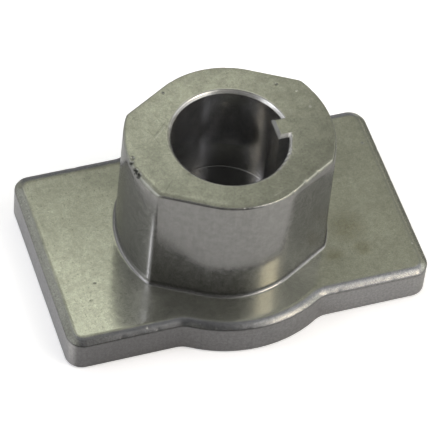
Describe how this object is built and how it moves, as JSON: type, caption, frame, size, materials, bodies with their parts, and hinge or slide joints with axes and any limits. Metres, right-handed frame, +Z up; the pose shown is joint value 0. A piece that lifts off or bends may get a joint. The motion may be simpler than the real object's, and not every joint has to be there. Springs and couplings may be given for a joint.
{
  "type": "mower blade adapter",
  "caption": "Mower blade adapter: a flat-sided hub with a keyed crankshaft bore, standing on a rectangular blade plate with rounded sides and a bolt hole through its centre.",
  "frame": {"origin": "on the crankshaft axis, in the flat underside that the blade seats on", "axes": "+X along the plate's long side, towards the key; +Y across the plate; +Z up the bore axis, out of the hub's mouth"},
  "size_m": [0.0722, 0.0502, 0.0338],
  "materials": {
    "pressed_metal": "satin grey, as pressed, with a faint olive cast on the level faces and smoother upright walls"
  },
  "bodies": {
    "root": {"blade_adapter": "pressed_metal"}
  },
  "joints": []
}
